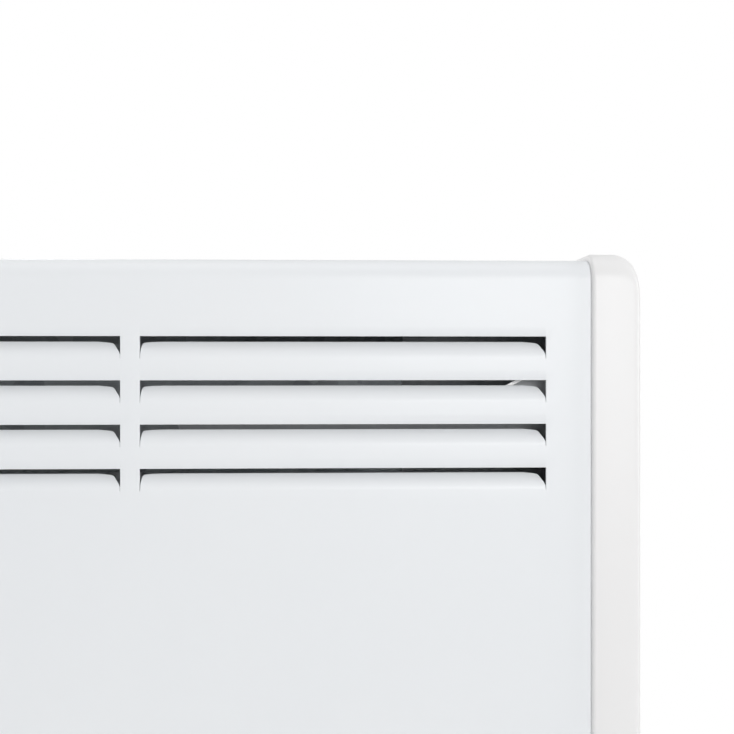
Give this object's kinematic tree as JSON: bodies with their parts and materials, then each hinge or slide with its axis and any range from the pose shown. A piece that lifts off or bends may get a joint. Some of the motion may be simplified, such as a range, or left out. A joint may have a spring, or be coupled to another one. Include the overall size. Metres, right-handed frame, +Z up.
{
  "type": "wall panel convector heater",
  "caption": "Slim wall-hung electric panel convector with a louvred steel front, moulded end caps, side controls and a tilt-forward wall bracket.",
  "frame": {"origin": "middle of the wall bracket's back face, on the wall's surface", "axes": "+Z up, +Y into the wall, +X to the right seen from the room; the front faces -Y"},
  "size_m": [0.5949, 0.085, 0.3895],
  "materials": {
    "panel_paint": "white powder coat, satin",
    "cap_plastic": "white moulded plastic, satin",
    "back_paint": "pale grey paint, matt",
    "zinc_steel": "zinc-coated sheet steel",
    "element_aluminium": "pressed aluminium",
    "bright_steel": "bright zinc-plated steel",
    "ceramic_white": "unglazed steatite ceramic",
    "dark_plastic": "dark grey moulded plastic",
    "control_plastic": "white moulded plastic",
    "black_rubber": "moulded rubber",
    "lens_amber": "clear amber plastic",
    "lead_red": "silicone lead insulation",
    "lead_blue": "silicone lead insulation"
  },
  "bodies": {
    "wall_mount": {"wall_bracket": "zinc_steel", "snap_clip_left": "bright_steel", "snap_clip_right": "bright_steel", "clip_rivet_left": "bright_steel", "clip_rivet_right": "bright_steel"},
    "heater": {"front_panel": "panel_paint", "rear_casing": "back_paint", "right_end_cap": "cap_plastic", "left_end_cap": "cap_plastic", "right_end_plate": "zinc_steel", "left_end_plate": "zinc_steel", "heating_element": "element_aluminium", "element_bracket_right": "zinc_steel", "element_bracket_left": "zinc_steel", "element_bush_right": "ceramic_white", "element_bush_left": "ceramic_white", "heat_shield": "zinc_steel", "air_deflector": "zinc_steel", "thermal_cut_out": "dark_plastic", "thermostat_body": "dark_plastic", "thermostat_nut": "bright_steel", "switch_housing": "dark_plastic", "indicator_lens": "lens_amber", "terminal_block": "ceramic_white", "earth_screw": "bright_steel", "cable_grommet": "black_rubber", "lead_mains_to_switch": "lead_red", "lead_switch_to_thermostat": "lead_red", "lead_return": "lead_blue", "hanger_left": "zinc_steel", "hanger_pin_left": "bright_steel", "latch_tongue_left": "zinc_steel", "cap_screw_left_lower": "bright_steel", "cap_screw_left_upper": "bright_steel", "hanger_right": "zinc_steel", "hanger_pin_right": "bright_steel", "latch_tongue_right": "zinc_steel", "cap_screw_right_lower": "bright_steel", "cap_screw_right_upper": "bright_steel", "panel_screw_left": "bright_steel", "panel_screw_middle": "bright_steel", "panel_screw_right": "bright_steel"},
    "knob": {"thermostat_knob": "control_plastic", "thermostat_shaft": "bright_steel"},
    "rocker": {"switch_rocker": "control_plastic"}
  },
  "joints": [
    {"name": "heater_tilt", "type": "hinge", "parent": "wall_mount", "child": "heater", "pos_m": [0, -0.012, -0.1485], "axis": [1, 0, 0], "range_deg": [0, 28]},
    {"name": "knob_turn", "type": "hinge", "parent": "heater", "child": "knob", "pos_m": [0.2917, -0.0525, -0.1115], "axis": [1, 0, 0], "range_deg": [-135, 135]},
    {"name": "rocker_tip", "type": "hinge", "parent": "heater", "child": "rocker", "pos_m": [0.293, -0.0525, -0.0645], "axis": [0, -1, 0], "range_deg": [0, 20]}
  ]
}
